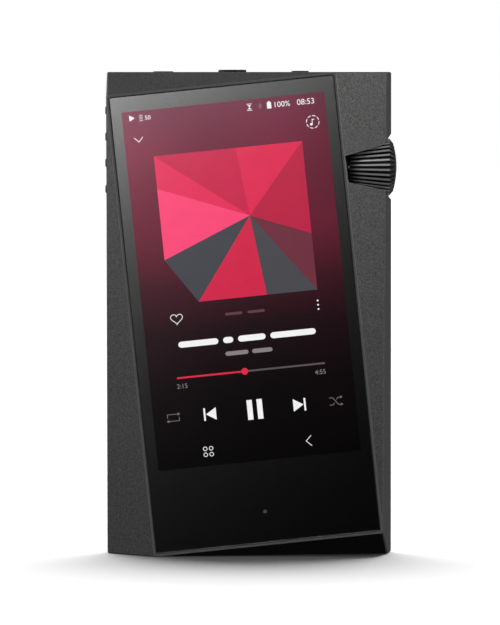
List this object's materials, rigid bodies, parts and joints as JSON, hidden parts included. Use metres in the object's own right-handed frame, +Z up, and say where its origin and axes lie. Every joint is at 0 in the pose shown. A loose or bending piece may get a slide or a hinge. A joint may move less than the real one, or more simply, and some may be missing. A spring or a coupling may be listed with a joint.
{
  "type": "digital audio player",
  "caption": "Pocket digital audio player: faceted metal housing with a turned front display, a ridged volume wheel, side buttons and headphone sockets.",
  "frame": {"origin": "middle of the bottom of the whole object, wheel and buttons included", "axes": "+Z up along the longest side, -Y out of the display, +X to the right of someone who looks at the display"},
  "size_m": [0.0652, 0.0162, 0.1087],
  "materials": {
    "anodised_housing": "bead-blasted, anodised dark grey",
    "back_panel": "dark polished back panel",
    "adhesive": "black foam tape",
    "front_glass": "polished cover glass",
    "black_mask": "black printed adhesive frame",
    "display": "colour display",
    "display_tray": "white light guide in a tray",
    "flex": "amber flexible circuit",
    "plate_steel": "pressed steel plate",
    "screw_steel": "zinc plated",
    "circuit_board": "green solder mask",
    "connector_plastic": "moulded black",
    "shield_tin": "tinned shield",
    "chip_black": "moulded package",
    "crystal_metal": "metal can",
    "battery_pouch": "laminated foil pouch",
    "socket_steel": "drawn stainless",
    "slider_plastic": "moulded nylon",
    "wheel_metal": "ridged, satin grey tops",
    "wheel_cap_metal": "fine turned face",
    "shaft_steel": "ground",
    "bushing_brass": "turned",
    "light_ring": "clear moulded light guide",
    "encoder_case": "moulded black",
    "collar_metal": "turned and anodised",
    "contact_brass": "gold plated",
    "button_metal": "anodised, small chamfer"
  },
  "bodies": {
    "housing": {"antenna": "flex", "audio_board": "circuit_board", "audio_shield": "shield_tin", "back_cover": "back_panel", "back_cover_tape": "adhesive", "battery": "battery_pouch", "battery_lead": "flex", "battery_tape": "adhesive", "board_connector": "connector_plastic", "board_screws": "screw_steel", "card_slot_base": "connector_plastic", "card_slot_shell": "socket_steel", "clock_crystals": "crystal_metal", "converter_chips": "chip_black", "display_backlight": "display_tray", "display_cable": "flex", "display_panel": "display", "encoder_board": "circuit_board", "encoder_body": "encoder_case", "front_glass": "front_glass", "glass_tape": "black_mask", "jack_2_5_body": "connector_plastic", "jack_2_5_collar": "collar_metal", "jack_2_5_contacts": "contact_brass", "jack_3_5_body": "connector_plastic", "jack_3_5_collar": "collar_metal", "jack_3_5_contacts": "contact_brass", "jack_4_4_body": "connector_plastic", "jack_4_4_collar": "collar_metal", "jack_4_4_contacts": "contact_brass", "main_board": "circuit_board", "main_housing": "anodised_housing", "memory_chips": "chip_black", "mid_plate": "plate_steel", "plate_screws": "screw_steel", "port_board": "circuit_board", "processor": "chip_black", "processor_shield": "shield_tin", "side_switch_board": "circuit_board", "side_switches": "encoder_case", "usb_shell": "socket_steel", "usb_tongue": "connector_plastic", "wheel_bushing": "bushing_brass", "wheel_light_ring": "light_ring"},
    "wheel": {"volume_wheel": "wheel_metal", "wheel_cap": "wheel_cap_metal", "wheel_shaft": "shaft_steel", "encoder_rotor": "connector_plastic", "wheel_clip": "screw_steel"},
    "card_carriage": {"card_slider": "slider_plastic"},
    "power_key": {"power_button": "button_metal", "power_plunger": "slider_plastic"},
    "previous_key": {"previous_button": "button_metal", "previous_plunger": "slider_plastic"},
    "play_key": {"play_button": "button_metal", "play_plunger": "slider_plastic"},
    "next_key": {"next_button": "button_metal", "next_plunger": "slider_plastic"}
  },
  "joints": [
    {"name": "wheel_turn", "type": "hinge", "parent": "housing", "child": "wheel", "pos_m": [0.031, 0.0011, 0.0869], "axis": [1, 0, 0], "continuous": true},
    {"name": "power_press", "type": "slide", "parent": "housing", "child": "power_key", "axis": [1, 0, 0], "range_m": [0, 0.0002], "stiffness_N_per_m": 4000, "springref_m": -0.0001},
    {"name": "previous_press", "type": "slide", "parent": "housing", "child": "previous_key", "axis": [1, 0, 0], "range_m": [0, 0.0002], "stiffness_N_per_m": 4000, "springref_m": -0.0001},
    {"name": "play_press", "type": "slide", "parent": "housing", "child": "play_key", "axis": [1, 0, 0], "range_m": [0, 0.0002], "stiffness_N_per_m": 4000, "springref_m": -0.0001},
    {"name": "next_press", "type": "slide", "parent": "housing", "child": "next_key", "axis": [1, 0, 0], "range_m": [0, 0.0002], "stiffness_N_per_m": 4000, "springref_m": -0.0001},
    {"name": "card_push", "type": "slide", "parent": "housing", "child": "card_carriage", "axis": [0, 0, 1], "range_m": [0, 0.0012], "stiffness_N_per_m": 1500, "springref_m": -0.0003}
  ]
}
